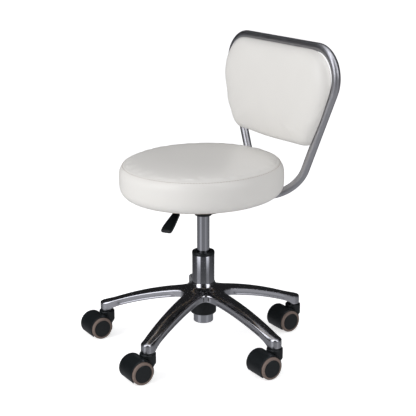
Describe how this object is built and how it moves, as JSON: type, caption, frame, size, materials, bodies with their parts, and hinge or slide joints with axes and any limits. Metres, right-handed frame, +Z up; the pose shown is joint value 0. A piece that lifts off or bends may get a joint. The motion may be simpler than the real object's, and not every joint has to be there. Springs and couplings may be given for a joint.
{
  "type": "rolling stylist stool",
  "caption": "Height-adjustable rolling stool with a star base on twin-wheel casters, a gas lift, a round padded seat and a padded backrest on a bent tube.",
  "frame": {"origin": "on the floor, on the axis of the gas lift column", "axes": "+Z up along the column; the sitter faces -Y; +X is the sitter's left"},
  "size_m": [0.4953, 0.5028, 0.6789],
  "materials": {
    "polished_aluminium": "cast and polished",
    "chrome_steel": "chrome plated",
    "plain_steel": "zinc plated or ground",
    "brushed_tube": "satin plated tube",
    "black_nylon": "injection moulded",
    "black_steel": "black powder coat",
    "acetal": "moulded",
    "seal_rubber": "moulded",
    "soft_tyre": "moulded soft tread",
    "plywood": "birch plywood",
    "white_vinyl": "coated fabric over foam",
    "cover_cloth": "non-woven cloth"
  },
  "bodies": {
    "base": {"star_base": "polished_aluminium", "caster_stems": "plain_steel", "column_tube": "chrome_steel", "column_cap": "black_nylon", "guide_bush": "acetal"},
    "spindle": {"piston_rod": "plain_steel", "piston": "plain_steel", "thrust_bearing": "plain_steel", "retaining_clip": "plain_steel"},
    "seat": {"backrest_board": "plywood", "backrest_bolts": "plain_steel", "backrest_cushion": "white_vinyl", "backrest_lugs": "plain_steel", "backrest_screws": "plain_steel", "backrest_spacers": "black_nylon", "backrest_tube": "brushed_tube", "backrest_tube_plugs": "black_nylon", "dust_cover": "cover_cloth", "lever_pivot_pin": "plain_steel", "lift_cylinder": "chrome_steel", "mechanism_bolts": "plain_steel", "mechanism_housing": "black_steel", "rod_seal": "seal_rubber", "seat_board": "plywood", "seat_cushion": "white_vinyl", "seat_tee_nuts": "plain_steel", "taper_socket": "plain_steel"},
    "lever": {"lever_arm": "plain_steel", "lever_paddle": "black_nylon"},
    "valve": {"valve_pin": "plain_steel"},
    "caster_1": {"caster_1_hood": "black_nylon", "caster_1_axle": "plain_steel"},
    "caster_1_left": {"caster_1_wheel_left": "black_nylon", "caster_1_tyre_left": "soft_tyre"},
    "caster_1_right": {"caster_1_wheel_right": "black_nylon", "caster_1_tyre_right": "soft_tyre"},
    "caster_2": {"caster_2_hood": "black_nylon", "caster_2_axle": "plain_steel"},
    "caster_2_left": {"caster_2_wheel_left": "black_nylon", "caster_2_tyre_left": "soft_tyre"},
    "caster_2_right": {"caster_2_wheel_right": "black_nylon", "caster_2_tyre_right": "soft_tyre"},
    "caster_3": {"caster_3_hood": "black_nylon", "caster_3_axle": "plain_steel"},
    "caster_3_left": {"caster_3_wheel_left": "black_nylon", "caster_3_tyre_left": "soft_tyre"},
    "caster_3_right": {"caster_3_wheel_right": "black_nylon", "caster_3_tyre_right": "soft_tyre"},
    "caster_4": {"caster_4_hood": "black_nylon", "caster_4_axle": "plain_steel"},
    "caster_4_left": {"caster_4_wheel_left": "black_nylon", "caster_4_tyre_left": "soft_tyre"},
    "caster_4_right": {"caster_4_wheel_right": "black_nylon", "caster_4_tyre_right": "soft_tyre"},
    "caster_5": {"caster_5_hood": "black_nylon", "caster_5_axle": "plain_steel"},
    "caster_5_left": {"caster_5_wheel_left": "black_nylon", "caster_5_tyre_left": "soft_tyre"},
    "caster_5_right": {"caster_5_wheel_right": "black_nylon", "caster_5_tyre_right": "soft_tyre"}
  },
  "joints": [
    {"name": "seat_swivel", "type": "hinge", "parent": "base", "child": "spindle", "pos_m": [0, 0, 0.1], "axis": [0, 0, 1], "continuous": true},
    {"name": "seat_lift", "type": "slide", "parent": "spindle", "child": "seat", "axis": [0, 0, 1], "range_m": [-0.075, 0]},
    {"name": "lever_lift", "type": "hinge", "parent": "seat", "child": "lever", "pos_m": [0, -0.01374, 0.34116], "axis": [-1, 0, 0], "range_deg": [0, 7], "stiffness_Nm_per_rad": 1.2},
    {"name": "valve_press", "type": "slide", "parent": "seat", "child": "valve", "axis": [0, 0, 1], "range_m": [-0.002, 0]},
    {"name": "caster_1_swivel", "type": "hinge", "parent": "base", "child": "caster_1", "pos_m": [0.22612, 0.03622, 0.05], "axis": [0, 0, 1], "continuous": true},
    {"name": "caster_1_left_roll", "type": "hinge", "parent": "caster_1", "child": "caster_1_left", "pos_m": [0.22612, 0.00862, 0.025], "axis": [1, 0, 0], "continuous": true},
    {"name": "caster_1_right_roll", "type": "hinge", "parent": "caster_1", "child": "caster_1_right", "pos_m": [0.22612, 0.00862, 0.025], "axis": [1, 0, 0], "continuous": true},
    {"name": "caster_2_swivel", "type": "hinge", "parent": "base", "child": "caster_2", "pos_m": [0.03543, 0.22624, 0.05], "axis": [0, 0, 1], "continuous": true},
    {"name": "caster_2_left_roll", "type": "hinge", "parent": "caster_2", "child": "caster_2_left", "pos_m": [0.03543, 0.19864, 0.025], "axis": [1, 0, 0], "continuous": true},
    {"name": "caster_2_right_roll", "type": "hinge", "parent": "caster_2", "child": "caster_2_right", "pos_m": [0.03543, 0.19864, 0.025], "axis": [1, 0, 0], "continuous": true},
    {"name": "caster_3_swivel", "type": "hinge", "parent": "base", "child": "caster_3", "pos_m": [-0.20422, 0.10361, 0.05], "axis": [0, 0, 1], "continuous": true},
    {"name": "caster_3_left_roll", "type": "hinge", "parent": "caster_3", "child": "caster_3_left", "pos_m": [-0.20422, 0.13121, 0.025], "axis": [1, 0, 0], "continuous": true},
    {"name": "caster_3_right_roll", "type": "hinge", "parent": "caster_3", "child": "caster_3_right", "pos_m": [-0.20422, 0.13121, 0.025], "axis": [1, 0, 0], "continuous": true},
    {"name": "caster_4_swivel", "type": "hinge", "parent": "base", "child": "caster_4", "pos_m": [-0.16165, -0.16221, 0.05], "axis": [0, 0, 1], "continuous": true},
    {"name": "caster_4_left_roll", "type": "hinge", "parent": "caster_4", "child": "caster_4_left", "pos_m": [-0.16165, -0.18981, 0.025], "axis": [1, 0, 0], "continuous": true},
    {"name": "caster_4_right_roll", "type": "hinge", "parent": "caster_4", "child": "caster_4_right", "pos_m": [-0.16165, -0.18981, 0.025], "axis": [1, 0, 0], "continuous": true},
    {"name": "caster_5_swivel", "type": "hinge", "parent": "base", "child": "caster_5", "pos_m": [0.10432, -0.20386, 0.05], "axis": [0, 0, 1], "continuous": true},
    {"name": "caster_5_left_roll", "type": "hinge", "parent": "caster_5", "child": "caster_5_left", "pos_m": [0.10432, -0.23146, 0.025], "axis": [1, 0, 0], "continuous": true},
    {"name": "caster_5_right_roll", "type": "hinge", "parent": "caster_5", "child": "caster_5_right", "pos_m": [0.10432, -0.23146, 0.025], "axis": [1, 0, 0], "continuous": true}
  ],
  "couplings": [
    {"joint": "valve_press", "follows": "lever_lift", "m_per_rad": -0.01386}
  ]
}
